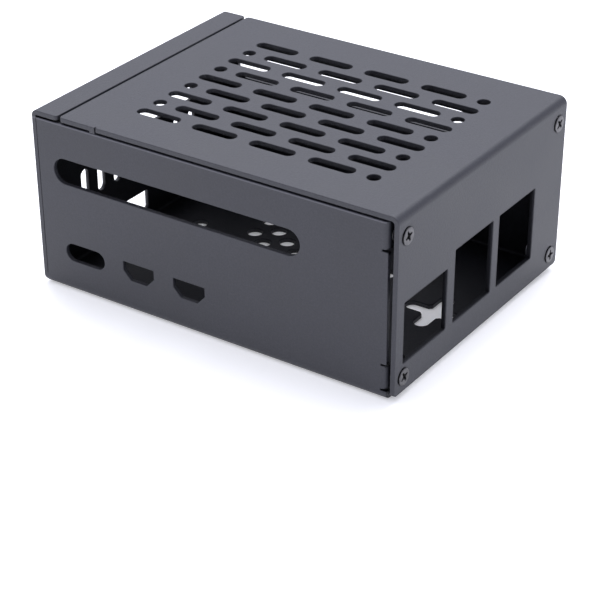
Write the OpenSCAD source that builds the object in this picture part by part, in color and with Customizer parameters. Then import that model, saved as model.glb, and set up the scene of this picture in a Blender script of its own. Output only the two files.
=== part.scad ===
// Folded sheet-metal enclosure for a credit-card-size single board computer.
//
// Two folded sheets make the case: a base tray (floor, side walls, rear wall and rear
// flange) and an L-shaped cover (top plate and end plate). Four countersunk screws go
// through the end plate into press nuts on the tray's tabs.
//
// Frame: +X is the end with the network and USB windows, -Y the side with the power and
// display openings, +Z is up. The origin is the middle of the underside.
// Left and right are as seen from in front of the end plate, so left is -Y.

/* [Case] */
// Length over the rear wall and the end plate
case_l = 91.8; // [91.6:0.1:92.6]
// Width over the two side walls
case_w = 68.2; // [68:0.1:70]
// Height from the underside to the top face
case_h = 41.7; // [41:0.1:46]
// Thickness of the sheet with its powder coat
sheet_t = 1.1; // [1:0.05:1.25]
// Outer radius of the floor bends and of the cover's front bend
bend_r = 1.8; // [1.4:0.1:2.2]
// How far the cover's front bend goes past square, in degrees, so that the end plate leans in
plate_lean = 0.65; // [0:0.05:1]
// Outer radius of the bend between the rear wall and its flange
flange_bend_r = 1.4; // [1.4:0.1:1.8]
// Outer radius of the bends of the screw tabs
tab_bend_r = 1.2; // [0.8:0.1:1.4]

/* [Seams] */
// Depth of the rear flange, along the length
flange_d = 6.95; // [6:0.05:8]
// Groove between the rear flange and the top plate
groove_w = 0.7; // [0.5:0.05:0.9]
// Gap between the side walls' upper edges and the sheet above them
top_gap = 0.5; // [0.2:0.05:0.6]
// Gap between the tray's front edges and the end plate, at the top
front_gap = 1.3; // [0.9:0.05:1.5]
// Gap between a side wall and the rear wall at the corner
corner_gap = 0.05; // [0.05:0.05:0.2]
// Height of the end plate's lower edge above the underside
plate_lift = 1.3; // [1:0.1:2]
// Corner radius of the flange and the top plate beside the groove
groove_corner_r = 0.8; // [0.4:0.1:2]
// Corner radius at the end plate's lower edge
plate_corner_r = 0.9; // [0.6:0.1:2]

/* [Board] */
// Clearance between the board and the rear wall
board_gap_x = 0.15; // [0.05:0.05:0.5]
// Clearance between the board and the left side wall
board_gap_y = 0.1; // [0.05:0.05:0.5]
// Height of the board's upper face above the underside
board_top = 8.2; // [7.5:0.1:9]
// Radius of the holes for the board's screws
board_hole_r = 1.45; // [1.3:0.05:1.6]

/* [Top vents] */
// Width of a vent slot and diameter of a vent dot
vent_w = 2.9; // [2:0.1:3.2]
// Length of a vent slot, end to end
vent_l = 10.9; // [8:0.1:11.5]
// Distance between slots in one row
vent_pitch = 14.55; // [13.5:0.05:14.6]
// Distance between the rows
vent_row_pitch = 5.44; // [4.8:0.02:5.6]
// Centre of the vent field along the length
vent_x = 3.63; // [3:0.01:4.2]

/* [Screws] */
// Radius of the countersink at the end plate's outer face
sink_r = 2.25; // [2.1:0.05:2.4]
// Depth of the countersink, down to the hole that the head rests in
sink_d = 0.45; // [0.4:0.05:0.6]
// Radius of the screw's head
head_r = 1.85; // [1.8:0.05:1.95]
// Height of the head's top above the end plate's outer face
head_lift = 0.25; // [0.15:0.05:0.35]
// Height of the straight rim between the head's top and its cone
head_rim = 0.15; // [0.1:0.05:0.2]
// Radial clearance between the head's cone and the hole
head_clear = 0.05; // [0.02:0.01:0.1]
// Radius of the screw's shank
shank_r = 1.2; // [1.1:0.02:1.24]
// Length of the screw, head included
screw_l = 5.5; // [5:0.25:6]
// Radius of the nut's bore
nut_bore_r = 1.25; // [1.25:0.01:1.3]
// Radius of the nut's collar behind the tab
nut_r = 2.1; // [1.9:0.05:2.2]
// Radius of the nut's shank in the tab
nut_shank_r = 1.8; // [1.6:0.05:1.85]
// Length of the nut's collar
nut_l = 2.0; // [1.5:0.1:2.5]

/* [Hidden] */
$fn = 64;

half_l = case_l / 2;
half_w = case_w / 2;
clear = 1;                          // how far a cutter runs past the faces it cuts

// Tray
tray_front = half_l - sheet_t - front_gap;
side_top = case_h - sheet_t - top_gap;
corner_gap_bottom = 2.5;            // below this the rear corners are closed by the bends

// Screw tabs, folded in from the side walls' front edges
screw_y = 30.73;
screw_z_low = 4.75;
screw_z_high = case_h - 5.15;
tab_reach = 7.1;                    // from the side wall's outer face inwards
tab_low = [2.5, 7.9];
tab_high = [case_h - 7.7, side_top];
tab_corner_r = 1.2;
relief_h = 0.4;                     // notches that free the ends of a tab's bend
relief_d = tab_bend_r + 0.2;

// Cover
cover_rear = -half_l + flange_d + groove_w;
bend_centre = [half_l - bend_r, case_h - bend_r];
lug_x = -28.65;                     // front end of the locating lug under the left edge
lug_l = 1.45;
lug_clear = 0.05;
slit_w = 0.3;                       // relief slit in the cover's edge beside the lug
slit_d = 0.5;

// Board, from the corner by the rear wall and the left side wall
board_x = -half_l + sheet_t + board_gap_x;
board_y = -half_w + sheet_t + board_gap_y;
board_hole_inset = 3.5;
board_hole_span = [58, 49];

// Left side: openings centred on the board's sockets
power_x = board_x + 11.15;
power_size = [10.7, 4.2];
power_z = board_top + 1.6;
display_x = [board_x + 25.8, board_x + 39.25];
display_w = 8.2;
display_foot_w = 4.3;
display_z = [board_top - 0.5, board_top + 1.55, board_top + 3.7];

// Both sides: one long slot each
long_slot_x = [-40.65, 22.95];
long_slot_left_z = [26.1, 32.05];
long_slot_right_z = [26.45, 32.4];

// Right side: recess in the upper edge
recess_x = [-27.8, 26.1];
recess_z = case_h - 2.3;
recess_corner_r = 0.8;

// End plate: windows for the network socket and two double USB sockets
window_z = board_top - 0.3;
network_y = board_y + 10;
network_size = [16.4, 13.95];
usb_y = [board_y + 28.9, board_y + 46.9];
usb_size = [15.3, 16.95];

// Rear wall
rear_opening_z = [24.2, 30.25];
rear_opening_w = 41;
rear_opening_corner_r = 1;
rear_slot_count = 8;
rear_slot_pitch = 5.6;
rear_slot_w = 2.6;
rear_slot_z = [14.5, 21.9];
card_y = board_y + 27.85;
card_w = 14.2;
card_z = [3.2, board_top - 0.1];
card_corner_r = 0.6;

// Floor: staggered round vents and two cross-shaped hanging holes
floor_vent_r = 1.85;
floor_vent_rows = 9;
floor_vent_pitch = [4.51, 6.45];
floor_vent_centre = [-1.25, -0.6];
cross_x = [34.1, -32.5];
cross_y = 0.4;
cross_head_r = 2.9;
cross_arm_w = 3.4;
cross_reach = 7;

// Top vents
vent_rows = 9;
vent_slots = 4;
vent_first = -24.82;                // first slot's centre from the field's centre
vent_dot = 28.71;                   // the dot's centre from the field's centre

// Screw and nut
screw_tip = 0.35;                   // chamfer at the shank's end
cross_wing_w = 0.62;                // width of the driver recess's wings
cross_depth = 1.1;
cross_r = [0.5, 1.25];              // reach of the wings at the bottom and at the mouth
nut_chamfer = 0.25;

// Shorthand for the screws' places: side (-1 left, 1 right) and height
place_upper_left = [-1, screw_z_high];
place_upper_right = [1, screw_z_high];
place_lower_left = [-1, screw_z_low];
place_lower_right = [1, screw_z_low];

// ---- Helpers ----

// Extrudes an outline drawn in (Y, Z) from x0 to x1
module along_x(x0, x1) {
    translate([x0, 0, 0]) rotate([90, 0, 90]) linear_extrude(x1 - x0) children();
}

// Extrudes an outline drawn in (X, Z) from y0 to y1
module along_y(y0, y1) {
    translate([0, y1, 0]) rotate([90, 0, 0]) linear_extrude(y1 - y0) children();
}

// Extrudes an outline drawn in (X, Y) from z0 to z1
module along_z(z0, z1) {
    translate([0, 0, z0]) linear_extrude(z1 - z0) children();
}

module box_between(low, high) {
    translate(low) cube(high - low);
}

// A rectangle between two corners
module rect(low, high) {
    translate(low) square(high - low);
}

// What lies outside a rounded corner whose sharp corner is at p, pointing to -x and -y
// by default; side = [1, 1] turns it to point to +x and +y
module corner_waste(p, r, side = [-1, -1]) {
    translate(p) mirror([side[0] > 0 ? 1 : 0, 0]) mirror([0, side[1] > 0 ? 1 : 0])
        difference() {
            translate([-clear, -clear]) square(r + clear);
            translate([r, r]) circle(r);
        }
}

// A rectangle with four corners of one radius
module rounded_rect(low, high, r) {
    difference() {
        rect(low, high);
        corner_waste(low, r);
        corner_waste([high[0], low[1]], r, [1, -1]);
        corner_waste([low[0], high[1]], r, [-1, 1]);
        corner_waste(high, r, [1, 1]);
    }
}

// A slot with round ends, centred on the origin, end to end along x
module slot(length, width) {
    square([length - width, width], center = true);
    for (end = [-1, 1]) translate([end * (length - width) / 2, 0]) circle(width / 2);
}

// X of the leaning end plate's outer face at a height
function plate_x(z) =
    bend_centre[0] + bend_r / cos(plate_lean) - (bend_centre[1] - z) * tan(plate_lean);

// Puts its child on a screw's axis, with its z = 0 at that X
module on_screw_axis(place, x) {
    translate([x, place[0] * screw_y, place[1]]) rotate([0, 90, 0]) children();
}

// Puts its child on a screw's axis at the end plate's outer face
module at_screw(place) {
    on_screw_axis(place, plate_x(place[1])) children();
}

// ---- Base tray ----

// Section across the tray, drawn inset from its outer faces
module tray_section(inset) {
    low = [-half_w + inset, inset];
    difference() {
        rect(low, [half_w - inset, case_h]);
        corner_waste(low, bend_r - inset);
        corner_waste([half_w - inset, inset], bend_r - inset, [1, -1]);
    }
}

// Outline of the tray seen from the side, drawn inset, as far forward as front
module tray_outline(inset, front) {
    low = [-half_l + inset, inset];
    high = [front, case_h - inset];
    difference() {
        rect(low, high);
        corner_waste(low, bend_r - inset);
        corner_waste([low[0], high[1]], flange_bend_r - inset, [-1, 1]);
    }
}

// The folded sheet, open at the front and at the top before the flange
module tray_sheet() {
    difference() {
        intersection() {
            along_x(-half_l, tray_front) tray_section(0);
            along_y(-half_w, half_w) tray_outline(0, tray_front);
        }
        intersection() {
            along_x(-half_l + sheet_t, half_l) tray_section(sheet_t);
            along_y(-half_w, half_w) tray_outline(sheet_t, half_l);
        }
        // Open top in front of the flange
        box_between([-half_l + flange_d, -half_w - clear, side_top],
                    [half_l, half_w + clear, case_h + clear]);
        // Gap under the flange
        box_between([-half_l + sheet_t, -half_w - clear, side_top],
                    [half_l, half_w + clear, case_h - sheet_t]);
        // Open seams at the two rear corners
        box_between([-half_l + sheet_t, -half_w - clear, corner_gap_bottom],
                    [-half_l + sheet_t + corner_gap, half_w + clear, case_h - sheet_t]);
        // Round corners of the flange beside the groove
        along_z(case_h - sheet_t - top_gap / 2, case_h + clear) {
            corner_waste([-half_l + flange_d, -half_w], groove_corner_r, [1, -1]);
            corner_waste([-half_l + flange_d, half_w], groove_corner_r, [1, 1]);
        }
    }
}

// One screw tab on the left side, over a height range
module left_tab(heights) {
    inner_y = -half_w + tab_reach;
    intersection() {
        along_x(tray_front - sheet_t, tray_front) difference() {
            rect([-half_w, heights[0]], [inner_y, heights[1]]);
            corner_waste([inner_y, heights[0]], tab_corner_r, [1, -1]);
            corner_waste([inner_y, heights[1]], tab_corner_r, [1, 1]);
        }
        along_x(0, half_l) tray_section(0);
    }
}

// The waste outside a tab's bend on the left side
module left_tab_bend(heights) {
    along_z(heights[0], heights[1])
        corner_waste([tray_front, -half_w], tab_bend_r, [1, -1]);
}

// Relief notches in the left side wall at the ends of the tabs' bends
module left_reliefs() {
    for (z = [tab_low[0] - relief_h, tab_low[1], tab_high[0] - relief_h])
        along_z(z, z + relief_h) rect(
            [tray_front - relief_d, -half_w - clear],
            [tray_front + clear, -half_w + sheet_t + clear]
        );
}

// The power socket's slot and the two display sockets' openings, in (X, Z)
module socket_openings() {
    translate([power_x, power_z]) slot(power_size[0], power_size[1]);
    for (x = display_x) translate([x, 0]) polygon([
        [-display_foot_w / 2, display_z[0]],
        [display_foot_w / 2, display_z[0]],
        [display_w / 2, display_z[1]],
        [display_w / 2, display_z[2]],
        [-display_w / 2, display_z[2]],
        [-display_w / 2, display_z[1]]
    ]);
}

// One long slot between two heights, in (X, Z)
module long_slot(heights) {
    translate([(long_slot_x[0] + long_slot_x[1]) / 2, (heights[0] + heights[1]) / 2])
        slot(long_slot_x[1] - long_slot_x[0], heights[1] - heights[0]);
}

// The recess in the right wall's upper edge, in (X, Z)
module edge_recess() {
    difference() {
        rect([recess_x[0], recess_z], [recess_x[1], case_h]);
        corner_waste([recess_x[0], recess_z], recess_corner_r);
        corner_waste([recess_x[1], recess_z], recess_corner_r, [1, -1]);
    }
}

// The rear wall's cable opening, vent slots and memory card opening, in (Y, Z)
module rear_openings() {
    rounded_rect([-rear_opening_w / 2, rear_opening_z[0]], [rear_opening_w / 2, rear_opening_z[1]],
                 rear_opening_corner_r);
    for (i = [0 : rear_slot_count - 1])
        translate([(i - (rear_slot_count - 1) / 2) * rear_slot_pitch,
                   (rear_slot_z[0] + rear_slot_z[1]) / 2])
            rotate(90) slot(rear_slot_z[1] - rear_slot_z[0], rear_slot_w);
    rounded_rect([card_y - card_w / 2, card_z[0]], [card_y + card_w / 2, card_z[1]], card_corner_r);
}

// A cross of two slots around a round hole, for hanging the case on a screw head
module hanging_cross() {
    circle(cross_head_r);
    for (turn = [0, 90]) rotate(turn) slot(2 * cross_reach, cross_arm_w);
}

// Round vents in rows of six and five by turns, in (X, Y)
module floor_vents() {
    for (row = [0 : floor_vent_rows - 1]) {
        holes = 6 - row % 2;
        for (i = [0 : holes - 1])
            translate([
                floor_vent_centre[0] + (row - (floor_vent_rows - 1) / 2) * floor_vent_pitch[0],
                floor_vent_centre[1] + (i - (holes - 1) / 2) * floor_vent_pitch[1]
            ]) circle(floor_vent_r);
    }
}

module base_tray() {
    color("dimgray") difference() {
        union() {
            tray_sheet();
            for (side = [0, 1]) mirror([0, side, 0]) {
                left_tab(tab_low);
                left_tab(tab_high);
            }
        }
        for (side = [0, 1]) mirror([0, side, 0]) {
            left_tab_bend(tab_low);
            left_tab_bend(tab_high);
            left_reliefs();
        }
        along_y(-half_w - clear, -half_w + sheet_t + clear) {
            socket_openings();
            long_slot(long_slot_left_z);
        }
        along_y(half_w - sheet_t - clear, half_w + clear) {
            edge_recess();
            long_slot(long_slot_right_z);
        }
        along_x(-half_l - clear, -half_l + sheet_t + clear) rear_openings();
        along_z(-clear, sheet_t + clear) {
            floor_vents();
            for (x = cross_x) translate([x, cross_y]) hanging_cross();
        }
        for (i = [0, 1], j = [0, 1])
            translate([board_x + board_hole_inset + i * board_hole_span[0],
                       board_y + board_hole_inset + j * board_hole_span[1], -clear])
                cylinder(h = sheet_t + 2 * clear, r = board_hole_r);
        for (side = [-1, 1], z = [screw_z_low, screw_z_high])
            translate([tray_front - sheet_t - clear, side * screw_y, z]) rotate([0, 90, 0])
                cylinder(h = sheet_t + 2 * clear, r = nut_shank_r);
    }
}

// ---- Top cover ----

// Outline of the cover seen from the side: the top plate, the bend and the end plate
module cover_outline() {
    plate_l = (bend_centre[1] - plate_lift) / cos(plate_lean);
    reach = 2 * bend_r;
    rect([cover_rear, case_h - sheet_t], [bend_centre[0], case_h]);
    translate(bend_centre) {
        difference() {
            circle(bend_r);
            circle(bend_r - sheet_t);
            rect([-reach, -reach], [0, reach]);
            rotate(-plate_lean) rect([-reach, -reach], [reach, 0]);
        }
        rotate(-plate_lean) rect([bend_r - sheet_t, -plate_l], [bend_r, 0]);
    }
}

// Rows of slots that each end in one dot; every other row is turned end for end
module top_vents() {
    for (row = [0 : vent_rows - 1]) {
        y = (row - (vent_rows - 1) / 2) * vent_row_pitch;
        translate([vent_x, y]) mirror([row % 2, 0]) {
            for (i = [0 : vent_slots - 1])
                translate([vent_first + i * vent_pitch, 0]) slot(vent_l, vent_w);
            translate([vent_dot, 0]) circle(vent_w / 2);
        }
    }
}

// The network and USB windows, in (Y, Z)
module socket_windows() {
    translate([network_y - network_size[0] / 2, window_z]) square(network_size);
    for (y = usb_y) translate([y - usb_size[0] / 2, window_z]) square(usb_size);
}

// A wide countersink over the hole whose edge carries the head's cone
module countersink(place) {
    hole_r = head_r - (sink_d + head_lift - head_rim) + head_clear;
    widening = (sink_r - hole_r) / sink_d;
    at_screw(place) {
        translate([0, 0, -sink_d])
            cylinder(h = sink_d + clear, r1 = hole_r, r2 = sink_r + clear * widening);
        translate([0, 0, -sheet_t - clear]) cylinder(h = sheet_t + clear, r = hole_r);
    }
}

module top_cover() {
    color("slategray") difference() {
        union() {
            along_y(-half_w, half_w) cover_outline();
            // Locating lug under the left edge
            box_between([lug_x - lug_l, -half_w, side_top + lug_clear],
                        [lug_x, -half_w + sheet_t, case_h - sheet_t / 2]);
        }
        along_z(case_h - sheet_t - clear, case_h + clear) {
            corner_waste([cover_rear, -half_w], groove_corner_r);
            corner_waste([cover_rear, half_w], groove_corner_r, [-1, 1]);
            top_vents();
        }
        along_x(half_l - sheet_t - clear, half_l + clear) {
            corner_waste([-half_w, plate_lift], plate_corner_r);
            corner_waste([half_w, plate_lift], plate_corner_r, [1, -1]);
            socket_windows();
        }
        // Relief slit beside the lug
        box_between([lug_x, -half_w - clear, case_h - sheet_t - clear],
                    [lug_x + slit_w, -half_w + slit_d, case_h + clear]);
        for (place = [place_upper_left, place_upper_right, place_lower_left, place_lower_right])
            countersink(place);
    }
}

// ---- Screws and nuts ----

// Cross-recessed countersunk screw, head up, with the end plate's face at z = 0
module screw(turn) {
    color([0.1, 0.1, 0.11]) translate([0, 0, head_lift]) difference() {
        rotate_extrude() polygon([
            [0, 0],
            [head_r, 0],
            [head_r, -head_rim],
            [shank_r, shank_r - head_r - head_rim],
            [shank_r, screw_tip - screw_l],
            [shank_r - screw_tip, -screw_l],
            [0, -screw_l]
        ]);
        intersection() {
            translate([0, 0, -cross_depth])
                cylinder(h = cross_depth + clear / 4, r1 = cross_r[0], r2 = cross_r[1]);
            rotate(turn) union() {
                cube([4 * cross_r[1], cross_wing_w, 4 * cross_depth], center = true);
                cube([cross_wing_w, 4 * cross_r[1], 4 * cross_depth], center = true);
            }
        }
    }
}

// Press nut on a tab: its shank fills the tab's hole and its collar stands behind
module nut(place) {
    back = -sheet_t - nut_l;
    color([0.55, 0.56, 0.58]) on_screw_axis(place, tray_front) rotate_extrude() polygon([
        [nut_bore_r, 0],
        [nut_shank_r, 0],
        [nut_shank_r, -sheet_t],
        [nut_r, -sheet_t],
        [nut_r, back + nut_chamfer],
        [nut_r - nut_chamfer, back],
        [nut_bore_r, back]
    ]);
}

module screw_upper_left() { at_screw(place_upper_left) screw(20); }
module screw_upper_right() { at_screw(place_upper_right) screw(38); }
module screw_lower_left() { at_screw(place_lower_left) screw(28); }
module screw_lower_right() { at_screw(place_lower_right) screw(0); }

module nut_upper_left() { nut(place_upper_left); }
module nut_upper_right() { nut(place_upper_right); }
module nut_lower_left() { nut(place_lower_left); }
module nut_lower_right() { nut(place_lower_right); }

base_tray();
top_cover();
screw_upper_left();
screw_upper_right();
screw_lower_left();
screw_lower_right();
nut_upper_left();
nut_upper_right();
nut_lower_left();
nut_lower_right();
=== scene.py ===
"""Looks of the folded sheet-metal enclosure: powder coat, screws, press nuts and studio.

Everything is in metres in the part's own frame: +X is the end with the network and USB
windows, -Y the side with the power and display openings, +Z up. The sheet-metal nodes
stay as the frame has them and get rounded, coated edges; screws and nuts are replaced by
pieces with threads, built here on the places that their nodes give.
"""
import math

import bmesh
import bpy
from mathutils import Matrix, Vector


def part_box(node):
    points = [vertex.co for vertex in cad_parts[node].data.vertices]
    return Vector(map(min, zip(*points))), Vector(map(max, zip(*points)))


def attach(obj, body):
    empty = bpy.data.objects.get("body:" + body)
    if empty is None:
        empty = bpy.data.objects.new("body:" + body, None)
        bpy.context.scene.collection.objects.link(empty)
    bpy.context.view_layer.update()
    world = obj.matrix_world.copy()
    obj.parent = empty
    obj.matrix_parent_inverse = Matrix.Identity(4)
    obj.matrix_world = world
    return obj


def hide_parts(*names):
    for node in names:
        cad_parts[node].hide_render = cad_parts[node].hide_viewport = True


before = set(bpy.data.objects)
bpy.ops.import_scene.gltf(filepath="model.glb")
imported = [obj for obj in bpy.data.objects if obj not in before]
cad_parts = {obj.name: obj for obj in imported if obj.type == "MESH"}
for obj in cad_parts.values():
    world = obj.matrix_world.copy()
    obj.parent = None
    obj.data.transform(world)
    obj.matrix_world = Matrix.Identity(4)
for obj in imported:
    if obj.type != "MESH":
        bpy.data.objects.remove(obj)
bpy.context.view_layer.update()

MM = 0.001
TRAY_LOW, TRAY_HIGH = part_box("base_tray")
COVER_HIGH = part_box("top_cover")[1]
CENTRE = (TRAY_LOW + COVER_HIGH) / 2

# Camera: where it stands as seen from the case's centre, and how far the centre lies
# from the middle of the view
VIEW_AZIMUTH = math.radians(34.52)
VIEW_ELEVATION = math.radians(26.51)
VIEW_ROLL = math.radians(-0.48)
VIEW_DISTANCE = 0.4272
AIM_RIGHT = math.radians(0.063)
AIM_UP = math.radians(3.204)
LENS = 117.34
SENSOR = 36.0

# Sheet metal
SHEET = 1.1 * MM                # thickness with the coat on both sides
COAT_ROUNDING = 0.15 * MM       # radius that the coat leaves on a cut edge
COAT_SEGMENTS = 3
CUT_ANGLE = math.radians(40)    # sharper edges than this were cut, not folded
WELD_DISTANCE = 0.001 * MM
FLAT_ANGLE = math.radians(0.5)

# Powder coat. An openness is Blender's ambient occlusion: 1 where nothing is in reach.
PEBBLE_SIZE = 0.42 * MM
GRAIN_SIZE = 0.16 * MM
DRIFT_SIZE = 16 * MM            # slow change of tone over a face
PEBBLE_HEIGHT = 0.065 * MM
RECESS_SHADE_REACH = 8 * MM           # how near a wall the painted shade reaches
RECESS_SHADE_SPAN = (0.45, 0.95)      # openness from the darkest painted shade to none
RECESS_SHADE_TONE = 0.15              # painted shade: tone of the coat deep in a recess
RIM_BLEND = 0.1 * MM            # over this one look changes to another

# Cut faces, found as the places with little metal behind them, get a painted shade
CUT_REACH = 0.9 * MM            # under the sheet's thickness
CUT_SHADE_SPAN = (0.5, 0.74)          # openness from a fully shaded cut face to an unshaded one
# painted shade: near black for the cut faces
CUT_SHADE_COLOR = (0.006, 0.006, 0.008)
RIM_WIDTH = 0.3 * MM             # how far in from the outer face a cut face has no painted shade
TRAY_RIMS = (                   # past these the cut faces get no painted shade
    ("X", -TRAY_LOW.x - RIM_WIDTH), ("Y", TRAY_HIGH.y - RIM_WIDTH),
    ("Z", TRAY_HIGH.z - 2.2 * MM),
)
COVER_RIMS = (("Y", COVER_HIGH.y - 0.9 * MM), ("Z", COVER_HIGH.z - RIM_WIDTH))

# Inside of the case, where shade is painted: the coat there is darker and less glossy
FLOOR_FACE = 1.05 * MM          # just under the floor's upper face
INNER_FACES = (
    ("X", -TRAY_LOW.x - 0.7 * MM), ("Y", TRAY_HIGH.y - SHEET + RIM_BLEND),
    ("Z", TRAY_HIGH.z - SHEET + RIM_BLEND),
)
INNER_SHADE_TONE = 0.42

# Painted highlight along the outer edge at the top of the side walls
SIDE_TOP = TRAY_HIGH.z - SHEET - 0.5 * MM
RIM_HIGHLIGHT_HEIGHT = 0.4 * MM
RIM_HIGHLIGHT_COLOR = (0.085, 0.086, 0.100)

# Floor that the case stands on: it glows evenly, with a painted shadow where the case covers it
FLOOR_HALF = 3.0
FLOOR_COLOR = (0.93, 0.93, 0.93)
FLOOR_GLOW = 0.40
FLOOR_GLOW_SHADOWED = 0.16
FLOOR_BLEND = 3 * MM
SKY_COLOR = (0.85, 0.865, 1.0)
SKY_STRENGTH = 0.80

# Fasteners, M2.5
TURN_SEGMENTS = 48
SMOOTH_ANGLE = math.radians(35)  # flatter edges than this are shaded smoothly
THREAD_PITCH = 0.45 * MM
THREAD_DEPTH = 0.2 * MM
THREAD_STEPS = 6                # rings of vertices for one pitch
THREAD_START = 0.1 * MM         # distance from a screw's neck to its thread
THREAD_CREST = 1.4              # slope and offset that leave flats on crests and roots
THREAD_ROOT = 0.1
SCREW_HEAD_ROUNDING = 0.12 * MM
SCREW_HEAD_STEPS = 4
SCREW_HEAD_FLAT = 0.55          # radius of the head's middle face, as a share of the head
SCREW_TIP = 0.4 * MM
SCREW_RIM = 0.15 * MM           # straight side between the head's top and its cone
CROSS_DEPTH = 1.1 * MM
CROSS_WING = 0.3 * MM           # half width of a wing at the mouth
CROSS_REACH = 1.22 * MM         # reach of a wing at the mouth
CROSS_CORNER = 1.35             # corners between the wings, in half widths of a wing
CROSS_SHOULDER = 0.62           # where a wing starts to narrow, as a share of its reach
CROSS_END = 0.72                # width of a wing at its end, as a share of its width
CROSS_FLOOR = 0.4               # size of the recess at its bottom, as a share of the mouth
CROSS_POINT = 1.25              # depth of the middle, in depths of the recess
CROSS_LEAD = 0.2 * MM           # how far the cutter stands out of the mouth
CROSS_SHADE_SPAN = (0.3, 0.9)         # openness from the darkest painted shade to none
CROSS_SHADE_TONE = 0.04               # painted shade: tone of the steel deep in the cross
SHANK_R = 1.2 * MM
SCREW_TURNS = {                 # how each cross is turned, in degrees
    "screw_upper_left": 20, "screw_upper_right": 38,
    "screw_lower_left": 28, "screw_lower_right": 0,
}
NUT_SHANK_L = 1.1 * MM
NUT_SHANK_R = 1.78 * MM
NUT_BORE_R = 1.25 * MM
NUT_CHAMFER = 0.25 * MM
NUT_SLOPE = 0.75                # radius lost over the chamfer, in chamfers
NUT_CROWN = 1.2                 # radius lost at the very back, in chamfers
NUT_EDGE = 0.08 * MM            # broken edges of the collar
NUT_LEAD = 0.1 * MM             # broken edge of the shank


# ---- Node helpers ----

def new_material(name):
    material = bpy.data.materials.new(name)
    material.use_nodes = True
    nodes = material.node_tree.nodes
    return material, nodes, material.node_tree.links, nodes["Principled BSDF"]


def noise(nodes, links, place, size, detail, rough):
    """Noise with features of about that size, in metres."""
    n = nodes.new("ShaderNodeTexNoise")
    n.inputs["Scale"].default_value = 1 / size
    n.inputs["Detail"].default_value = detail
    n.inputs["Roughness"].default_value = rough
    links.new(place, n.inputs["Vector"])
    return n.outputs["Fac"]


def map_range(nodes, links, value, low, high, to_low, to_high):
    n = nodes.new("ShaderNodeMapRange")
    for name, number in (
        ("From Min", low), ("From Max", high), ("To Min", to_low), ("To Max", to_high),
    ):
        n.inputs[name].default_value = number
    links.new(value, n.inputs["Value"])
    return n.outputs["Result"]


def combine(nodes, links, first, second, share):
    """first * (1 - share) + second * share"""
    n = nodes.new("ShaderNodeMix")
    n.data_type = "FLOAT"
    n.inputs["Factor"].default_value = share
    links.new(first, n.inputs["A"])
    links.new(second, n.inputs["B"])
    return n.outputs["Result"]


def ramp(nodes, links, value, *stops):
    """Colour ramp; each stop is (position, (r, g, b))."""
    n = nodes.new("ShaderNodeValToRGB")
    elements = n.color_ramp.elements
    while len(elements) < len(stops):
        elements.new(1)
    for element, (position, color) in zip(elements, stops):
        element.position = position
        element.color = (*color, 1)
    links.new(value, n.inputs["Fac"])
    return n.outputs["Color"]


def bump(nodes, links, height, distance, shader, strength):
    n = nodes.new("ShaderNodeBump")
    n.inputs["Strength"].default_value = strength
    n.inputs["Distance"].default_value = distance
    links.new(height, n.inputs["Height"])
    links.new(n.outputs["Normal"], shader.inputs["Normal"])


def openness(nodes, links, reach, inside, span, tones):
    """Looks for the piece's own metal within reach, out of the surface or, with inside,
    into it, and turns the openness in span into a value in tones."""
    n = nodes.new("ShaderNodeAmbientOcclusion")
    n.samples = 8
    n.only_local = True
    n.inside = inside
    n.inputs["Distance"].default_value = reach
    return map_range(nodes, links, n.outputs["AO"], *span, *tones)


def distance_along(nodes, links, place, axis):
    """Distance from the origin along one axis, "X", "Y" or "Z"."""
    parts = nodes.new("ShaderNodeSeparateXYZ")
    links.new(place, parts.inputs["Vector"])
    n = nodes.new("ShaderNodeMath")
    n.operation = "ABSOLUTE"
    links.new(parts.outputs[axis], n.inputs[0])
    return n.outputs["Value"]


def multiply(nodes, links, first, second):
    """Product of two values from 0 to 1, which is 1 only where both are."""
    n = nodes.new("ShaderNodeMath")
    n.operation = "MULTIPLY"
    links.new(first, n.inputs[0])
    links.new(second, n.inputs[1])
    return n.outputs["Value"]


def nearer_than(nodes, links, place, limits):
    """1 where the distance along each axis is under its limit, falling to 0 past it."""
    share = None
    for axis, limit in limits:
        reach = distance_along(nodes, links, place, axis)
        near = map_range(nodes, links, reach, limit, limit + RIM_BLEND, 1, 0)
        share = near if share is None else multiply(nodes, links, share, near)
    return share


def mix_color(nodes, links, first, second, share, blend="MIX"):
    """Blends two colours; second and share may be sockets or plain values."""
    n = nodes.new("ShaderNodeMix")
    n.data_type = "RGBA"
    n.blend_type = blend
    links.new(first, n.inputs["A"])
    for value, socket in ((second, n.inputs["B"]), (share, n.inputs["Factor"])):
        if isinstance(value, bpy.types.NodeSocket):
            links.new(value, socket)
        else:
            socket.default_value = value
    return n.outputs["Result"]


def object_place(nodes):
    """Place in the part's own frame, which is every piece's own frame too."""
    return nodes.new("ShaderNodeTexCoord").outputs["Object"]


# ---- Materials ----

def painted_inner_shade(nodes, links, place):
    """Painted shade: the darker inside tone on the faces inside the case and 1 on the others."""
    within = nearer_than(nodes, links, place, INNER_FACES)
    height = distance_along(nodes, links, place, "Z")
    above = map_range(nodes, links, height, FLOOR_FACE - RIM_BLEND, FLOOR_FACE, 0, 1)
    inside = multiply(nodes, links, within, above)
    return map_range(nodes, links, inside, 0, 1, 1, INNER_SHADE_TONE)


def highlight_line(nodes, links, place):
    """1 on the outer edge along the top of the side walls, where a highlight is painted, and 0
    elsewhere.
    """
    width = distance_along(nodes, links, place, "Y")
    height = distance_along(nodes, links, place, "Z")
    outermost, start = TRAY_HIGH.y - RIM_WIDTH, SIDE_TOP - RIM_HIGHLIGHT_HEIGHT
    out = map_range(nodes, links, width, outermost, outermost + RIM_BLEND, 0, 1)
    over = map_range(nodes, links, height, start, start + RIM_BLEND, 0, 1)
    under = map_range(nodes, links, height, SIDE_TOP, SIDE_TOP + RIM_BLEND, 1, 0)
    return multiply(nodes, links, out, multiply(nodes, links, over, under))


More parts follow.
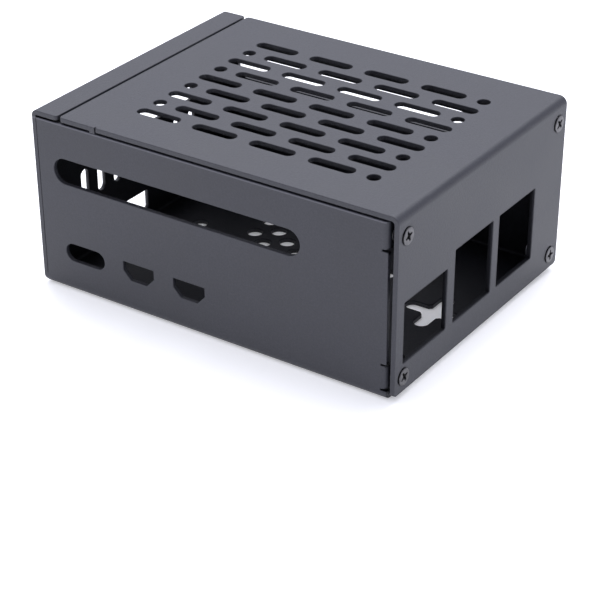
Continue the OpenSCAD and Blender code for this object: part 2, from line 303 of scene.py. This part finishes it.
def powder_coat(name, rims, with_highlight=False):
    """Satin bluish dark grey with the fine pebbled skin of baked powder. Painted shade makes
    cut faces near black, but not the rims past the given places; recesses and the inside of
    the case get painted shade too."""
    material, nodes, links, shader = new_material(name)
    place = object_place(nodes)
    pebble = noise(nodes, links, place, PEBBLE_SIZE, 2.0, 0.55)
    grain = noise(nodes, links, place, GRAIN_SIZE, 2.0, 0.6)
    drift = noise(nodes, links, place, DRIFT_SIZE, 3.0, 0.5)
    tone = combine(nodes, links, combine(nodes, links, pebble, grain, 0.5), drift, 0.3)
    color = ramp(
        nodes, links, tone,
        (0.3, (0.020, 0.0205, 0.026)),
        (0.5, (0.029, 0.030, 0.038)),
        (0.7, (0.042, 0.043, 0.054)),
    )
    # painted shade: the coat darkens near the piece's own walls, in corners and recesses
    recess_shade = openness(nodes, links, RECESS_SHADE_REACH, False, RECESS_SHADE_SPAN, (RECESS_SHADE_TONE, 1))
    # painted shade on the faces inside the case
    inner_shade = painted_inner_shade(nodes, links, place)
    shade = multiply(nodes, links, recess_shade, inner_shade)
    color = mix_color(nodes, links, color, shade, 1.0, "MULTIPLY")
    # painted shade: cut faces near black, but not on the rims
    cut = openness(nodes, links, CUT_REACH, True, CUT_SHADE_SPAN, (1, 0))
    cut_shade = multiply(nodes, links, cut, nearer_than(nodes, links, place, rims))
    color = mix_color(nodes, links, color, (*CUT_SHADE_COLOR, 1), cut_shade)
    # painted highlight along the top of the side walls
    if with_highlight:
        highlight_share = highlight_line(nodes, links, place)
        color = mix_color(nodes, links, color, (*RIM_HIGHLIGHT_COLOR, 1), highlight_share)
    links.new(color, shader.inputs["Base Color"])
    # the painted shade on cut faces is made metallic too
    links.new(cut_shade, shader.inputs["Metallic"])
    # painted shade: less gloss on the faces inside the case
    links.new(map_range(nodes, links, inner_shade, 0, 1, 0, 0.5), shader.inputs["Specular IOR Level"])
    rough = combine(nodes, links, grain, drift, 0.4)
    links.new(map_range(nodes, links, rough, 0.3, 0.7, 0.46, 0.60), shader.inputs["Roughness"])
    shader.inputs["IOR"].default_value = 1.5
    skin = combine(nodes, links, pebble, grain, 0.35)
    bump(nodes, links, skin, PEBBLE_HEIGHT, shader, 0.9)
    return material


def black_steel():
    """Blackened steel: a dark metal with lighter patches, and a painted shade that makes it near
    black deep in the cross.
    """
    material, nodes, links, shader = new_material("black_steel")
    place = object_place(nodes)
    patches = noise(nodes, links, place, 0.9 * MM, 4.0, 0.6)
    grain = noise(nodes, links, place, 0.12 * MM, 2.0, 0.6)
    tone = combine(nodes, links, patches, grain, 0.4)
    color = ramp(
        nodes, links, tone,
        (0.35, (0.055, 0.054, 0.058)),
        (0.55, (0.115, 0.113, 0.118)),
        (0.72, (0.24, 0.235, 0.235)),
    )
    # painted shade deep in the cross
    shade = openness(nodes, links, CROSS_DEPTH, False, CROSS_SHADE_SPAN, (CROSS_SHADE_TONE, 1))
    color = mix_color(nodes, links, color, shade, 1.0, "MULTIPLY")
    links.new(color, shader.inputs["Base Color"])
    shader.inputs["Metallic"].default_value = 0.85
    links.new(map_range(nodes, links, tone, 0.3, 0.7, 0.30, 0.48), shader.inputs["Roughness"])
    bump(nodes, links, grain, 0.012 * MM, shader, 0.6)
    return material


def plated_steel():
    """Zinc plating: a bluish grey metal with faint turning marks and dull spots."""
    material, nodes, links, shader = new_material("plated_steel")
    place = object_place(nodes)
    stretch = nodes.new("ShaderNodeMapping")
    stretch.inputs["Scale"].default_value = (12, 1, 1)
    links.new(place, stretch.inputs["Vector"])
    marks = noise(nodes, links, stretch.outputs["Vector"], 1.2 * MM, 2.0, 0.5)
    spots = noise(nodes, links, place, 0.7 * MM, 4.0, 0.6)
    tone = combine(nodes, links, spots, marks, 0.4)
    color = ramp(
        nodes, links, tone,
        (0.3, (0.42, 0.43, 0.46)),
        (0.5, (0.56, 0.57, 0.60)),
        (0.7, (0.68, 0.67, 0.64)),
    )
    links.new(color, shader.inputs["Base Color"])
    shader.inputs["Metallic"].default_value = 1.0
    links.new(map_range(nodes, links, tone, 0.3, 0.7, 0.26, 0.44), shader.inputs["Roughness"])
    bump(nodes, links, marks, 0.01 * MM, shader, 0.5)
    return material


# ---- Sheet metal ----

def coat_sheet(node, material):
    """Rounds a sheet's cut edges with modifiers and shades its folds smoothly."""
    node.data.materials.clear()
    node.data.materials.append(material)
    weld = node.modifiers.new("weld", "WELD")
    weld.merge_threshold = WELD_DISTANCE
    flats = node.modifiers.new("flats", "DECIMATE")
    flats.decimate_type = "DISSOLVE"
    flats.angle_limit = FLAT_ANGLE
    edges = node.modifiers.new("edges", "BEVEL")
    edges.width = COAT_ROUNDING
    edges.segments = COAT_SEGMENTS
    edges.limit_method = "ANGLE"
    edges.angle_limit = CUT_ANGLE
    edges.use_clamp_overlap = False
    edges.loop_slide = False
    normals = node.modifiers.new("normals", "WEIGHTED_NORMAL")
    normals.mode = "FACE_AREA"
    normals.weight = 80


# ---- Fasteners ----

def lathe(bm, rings, closed=True):
    """Turns rings of (x, radius) about the X axis; radius may be a function of the turn
    angle. Returns the rings' vertices."""
    loops = []
    for x, radius in rings:
        loop = []
        for step in range(TURN_SEGMENTS):
            angle = 2 * math.pi * step / TURN_SEGMENTS
            r = radius(angle) if callable(radius) else radius
            loop.append(bm.verts.new((x, r * math.cos(angle), r * math.sin(angle))))
        loops.append(loop)
    for one, two in zip(loops, loops[1:]):
        for step in range(TURN_SEGMENTS):
            after = (step + 1) % TURN_SEGMENTS
            bm.faces.new((one[step], one[after], two[after], two[step]))
    if closed:
        bm.faces.new(loops[0])
        bm.faces.new(loops[-1])
    return loops


def thread_radius(x, outer, depth):
    """Radius of a helical thread at x as a function of the turn angle."""
    def radius(angle):
        phase = (x / THREAD_PITCH - angle / (2 * math.pi)) % 1
        ridge = 1 - abs(2 * phase - 1)
        return outer - depth * (1 - min(1, max(0, THREAD_CREST * ridge - THREAD_ROOT)))
    return radius


def thread_rings(start, end, outer, depth):
    """Rings of a thread from start to end along X, running out at both ends."""
    count = max(2, round(abs(end - start) / THREAD_PITCH * THREAD_STEPS))
    rings = []
    for i in range(count + 1):
        x = start + (end - start) * i / count
        fade = min(1, min(i, count - i) / THREAD_STEPS)
        rings.append((x, thread_radius(x, outer, depth * fade)))
    return rings


def new_piece(name, bm, material):
    """Makes an object of the mesh in bm, which it frees."""
    bmesh.ops.recalc_face_normals(bm, faces=bm.faces)
    mesh = bpy.data.meshes.new(name)
    bm.to_mesh(mesh)
    bm.free()
    mesh.materials.append(material)
    mesh.shade_smooth()
    mesh.set_sharp_from_angle(angle=SMOOTH_ANGLE)
    piece = bpy.data.objects.new(name, mesh)
    bpy.context.scene.collection.objects.link(piece)
    return piece


def cross_cutter(turn):
    """The driver's cross, tapering from the mouth at x = 0 to its bottom."""
    corner, end = CROSS_CORNER * CROSS_WING, CROSS_END * CROSS_WING
    shoulder = CROSS_SHOULDER * CROSS_REACH
    wing = ((corner, -corner), (shoulder, -CROSS_WING), (CROSS_REACH, -end),
            (CROSS_REACH, end), (shoulder, CROSS_WING))
    outline = []
    for quarter in range(4):
        turned = Matrix.Rotation(math.radians(turn) + quarter * math.pi / 2, 2)
        outline += [turned @ Vector(point) for point in wing]
    bm = bmesh.new()
    mouth = 1 + CROSS_LEAD / CROSS_DEPTH * (1 - CROSS_FLOOR)
    levels = ((CROSS_LEAD, mouth), (-CROSS_DEPTH, CROSS_FLOOR))
    loops = [[bm.verts.new((x, p.x * share, p.y * share)) for p in outline] for x, share in levels]
    tip = bm.verts.new((-CROSS_POINT * CROSS_DEPTH, 0, 0))
    count = len(outline)
    for i in range(count):
        after = (i + 1) % count
        bm.faces.new((loops[0][i], loops[0][after], loops[1][after], loops[1][i]))
        bm.faces.new((loops[1][i], loops[1][after], tip))
    bm.faces.new(loops[0])
    bmesh.ops.recalc_face_normals(bm, faces=bm.faces)
    mesh = bpy.data.meshes.new("cross_cutter")
    bm.to_mesh(mesh)
    bm.free()
    return bpy.data.objects.new("cross_cutter", mesh)


def carved(piece, cutter):
    """Cuts cutter out of piece and keeps the result as piece's own mesh."""
    scene = bpy.context.scene
    scene.collection.objects.link(cutter)
    cut = piece.modifiers.new("cut", "BOOLEAN")
    cut.operation = "DIFFERENCE"
    cut.solver = "EXACT"
    cut.object = cutter
    result = bpy.data.meshes.new_from_object(
        piece.evaluated_get(bpy.context.evaluated_depsgraph_get())
    )
    piece.modifiers.clear()
    piece.data = result
    bpy.data.objects.remove(cutter)
    result.set_sharp_from_angle(angle=SMOOTH_ANGLE)


def make_screw(node_name, body, material):
    """Replaces a screw's node by one with a rounded head, a cross and a thread."""
    low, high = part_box(node_name)
    face, tip = high.x, low.x
    middle = (low + high) / 2
    head_r = (high.z - low.z) / 2
    length = face - tip
    neck = -(head_r - SHANK_R) - SCREW_RIM
    rings = [(0, SCREW_HEAD_FLAT * head_r)]
    for step in range(SCREW_HEAD_STEPS + 1):
        angle = math.pi / 2 * step / SCREW_HEAD_STEPS
        rings.append((
            -SCREW_HEAD_ROUNDING * (1 - math.cos(angle)),
            head_r - SCREW_HEAD_ROUNDING * (1 - math.sin(angle)),
        ))
    rings.append((-SCREW_RIM, head_r))
    rings.append((neck - THREAD_START / 2, SHANK_R - THREAD_DEPTH / 5))
    rings += thread_rings(neck - THREAD_START, SCREW_TIP - length, SHANK_R, THREAD_DEPTH)
    rings.append((-length, SHANK_R - SCREW_TIP))
    bm = bmesh.new()
    lathe(bm, rings)
    piece = new_piece(node_name + "_detail", bm, material)
    carved(piece, cross_cutter(SCREW_TURNS[node_name]))
    piece.data.transform(Matrix.Translation((face, middle.y, middle.z)))
    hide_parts(node_name)
    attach(piece, body)


def make_nut(node_name, body, material):
    """Replaces a nut's node by a press nut with a chamfered collar and a threaded bore."""
    low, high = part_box(node_name)
    middle = (low + high) / 2
    collar_r = (high.z - low.z) / 2
    front, back = high.x, low.x
    shoulder = front - NUT_SHANK_L
    outside = [
        (front, NUT_SHANK_R - NUT_LEAD),
        (front - NUT_LEAD, NUT_SHANK_R),
        (shoulder, NUT_SHANK_R),
        (shoulder, collar_r - NUT_EDGE),
        (shoulder - NUT_EDGE, collar_r),
        (back + NUT_CHAMFER, collar_r),
        (back + NUT_EDGE, collar_r - NUT_CHAMFER * NUT_SLOPE),
        (back, collar_r - NUT_CHAMFER * NUT_CROWN),
    ]
    bore = [(back, NUT_BORE_R + THREAD_DEPTH)]
    bore += thread_rings(back + THREAD_DEPTH, front - THREAD_DEPTH,
                         NUT_BORE_R + THREAD_DEPTH, THREAD_DEPTH)
    bore.append((front, NUT_BORE_R + THREAD_DEPTH))
    bm = bmesh.new()
    loops = lathe(bm, outside + bore, closed=False)
    for step in range(TURN_SEGMENTS):
        after = (step + 1) % TURN_SEGMENTS
        bm.faces.new((loops[-1][step], loops[-1][after], loops[0][after], loops[0][step]))
    piece = new_piece(node_name + "_detail", bm, material)
    piece.data.transform(Matrix.Translation((0, middle.y, middle.z)))
    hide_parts(node_name)
    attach(piece, body)


# ---- Studio ----

def make_camera():
    """Looks at the case from the photo's angle."""
    back = Vector((
        math.sin(VIEW_AZIMUTH) * math.cos(VIEW_ELEVATION),
        -math.cos(VIEW_AZIMUTH) * math.cos(VIEW_ELEVATION),
        math.sin(VIEW_ELEVATION),
    ))
    place = CENTRE + back * VIEW_DISTANCE
    ahead = -back
    right = ahead.cross(Vector((0, 0, 1))).normalized()
    up = right.cross(ahead)
    ahead = (ahead - math.tan(AIM_RIGHT) * right - math.tan(AIM_UP) * up).normalized()
    right = (right - right.dot(ahead) * ahead).normalized()
    up = right.cross(ahead)
    turned_right = right * math.cos(VIEW_ROLL) + up * math.sin(VIEW_ROLL)
    turned_up = up * math.cos(VIEW_ROLL) - right * math.sin(VIEW_ROLL)
    data = bpy.data.cameras.new("camera")
    data.lens = LENS
    data.sensor_width = SENSOR
    data.clip_start = 0.01
    data.clip_end = 20
    camera = bpy.data.objects.new("camera", data)
    bpy.context.scene.collection.objects.link(camera)
    camera.matrix_world = Matrix((
        (turned_right.x, turned_up.x, -ahead.x, place.x),
        (turned_right.y, turned_up.y, -ahead.y, place.y),
        (turned_right.z, turned_up.z, -ahead.z, place.z),
        (0, 0, 0, 1),
    ))
    bpy.context.scene.camera = camera


def make_floor():
    """A pale plane that glows a little, with a painted shadow: it glows less under the case."""
    half = FLOOR_HALF
    mesh = bpy.data.meshes.new("floor")
    mesh.from_pydata(
        [(-half, -half, 0), (half, -half, 0), (half, half, 0), (-half, half, 0)],
        [], [(0, 1, 2, 3)],
    )
    material, nodes, links, shader = new_material("floor")
    shader.inputs["Base Color"].default_value = (*FLOOR_COLOR, 1)
    shader.inputs["Roughness"].default_value = 0.7
    place = object_place(nodes)
    edges = []
    for axis, edge in (("X", -TRAY_LOW.x), ("Y", TRAY_HIGH.y)):
        reach = distance_along(nodes, links, place, axis)
        edges.append(map_range(nodes, links, reach, edge - FLOOR_BLEND, edge, 1, 0))
    # painted shadow: 1 under the case, where the floor glows less
    under = multiply(nodes, links, *edges)
    links.new(map_range(nodes, links, under, 0, 1, FLOOR_GLOW, FLOOR_GLOW_SHADOWED),
              shader.inputs["Emission Strength"])
    shader.inputs["Emission Color"].default_value = (1, 1, 1, 1)
    mesh.materials.append(material)
    floor = bpy.data.objects.new("floor", mesh)
    bpy.context.scene.collection.objects.link(floor)


def softbox(name, place, size, power, color):
    """A rectangular area light aimed at the case."""
    data = bpy.data.lights.new(name, "AREA")
    data.shape = "RECTANGLE"
    data.size, data.size_y = size
    data.energy = power
    data.color = color
    light = bpy.data.objects.new(name, data)
    light.location = place
    light.rotation_euler = (Vector(place) - CENTRE).to_track_quat("Z", "Y").to_euler()
    bpy.context.scene.collection.objects.link(light)


def make_studio():
    """Even light from all round, one soft light overhead and a faint bluish fill."""
    make_floor()
    world = bpy.data.worlds.new("studio")
    world.use_nodes = True
    background = world.node_tree.nodes["Background"]
    background.inputs["Color"].default_value = (*SKY_COLOR, 1)
    background.inputs["Strength"].default_value = SKY_STRENGTH
    bpy.context.scene.world = world
    bpy.context.scene.view_settings.view_transform = "Standard"
    softbox("overhead", place=(-0.25, 0.45, 1.0), size=(1.1, 1.1), power=15,
            color=(0.93, 0.94, 1))
    softbox("end_fill", place=(1.1, -0.1, 0.35), size=(0.7, 0.5), power=0.2,
            color=(0.25, 0.45, 1))


make_camera()
coat_sheet(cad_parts["base_tray"], powder_coat("tray_coat", TRAY_RIMS, with_highlight=True))
coat_sheet(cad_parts["top_cover"], powder_coat("cover_coat", COVER_RIMS))
blackened = black_steel()
plated = plated_steel()
for corner in ("upper_left", "upper_right", "lower_left", "lower_right"):
    make_screw("screw_" + corner, corner + "_screw", blackened)
    make_nut("nut_" + corner, "tray", plated)
make_studio()
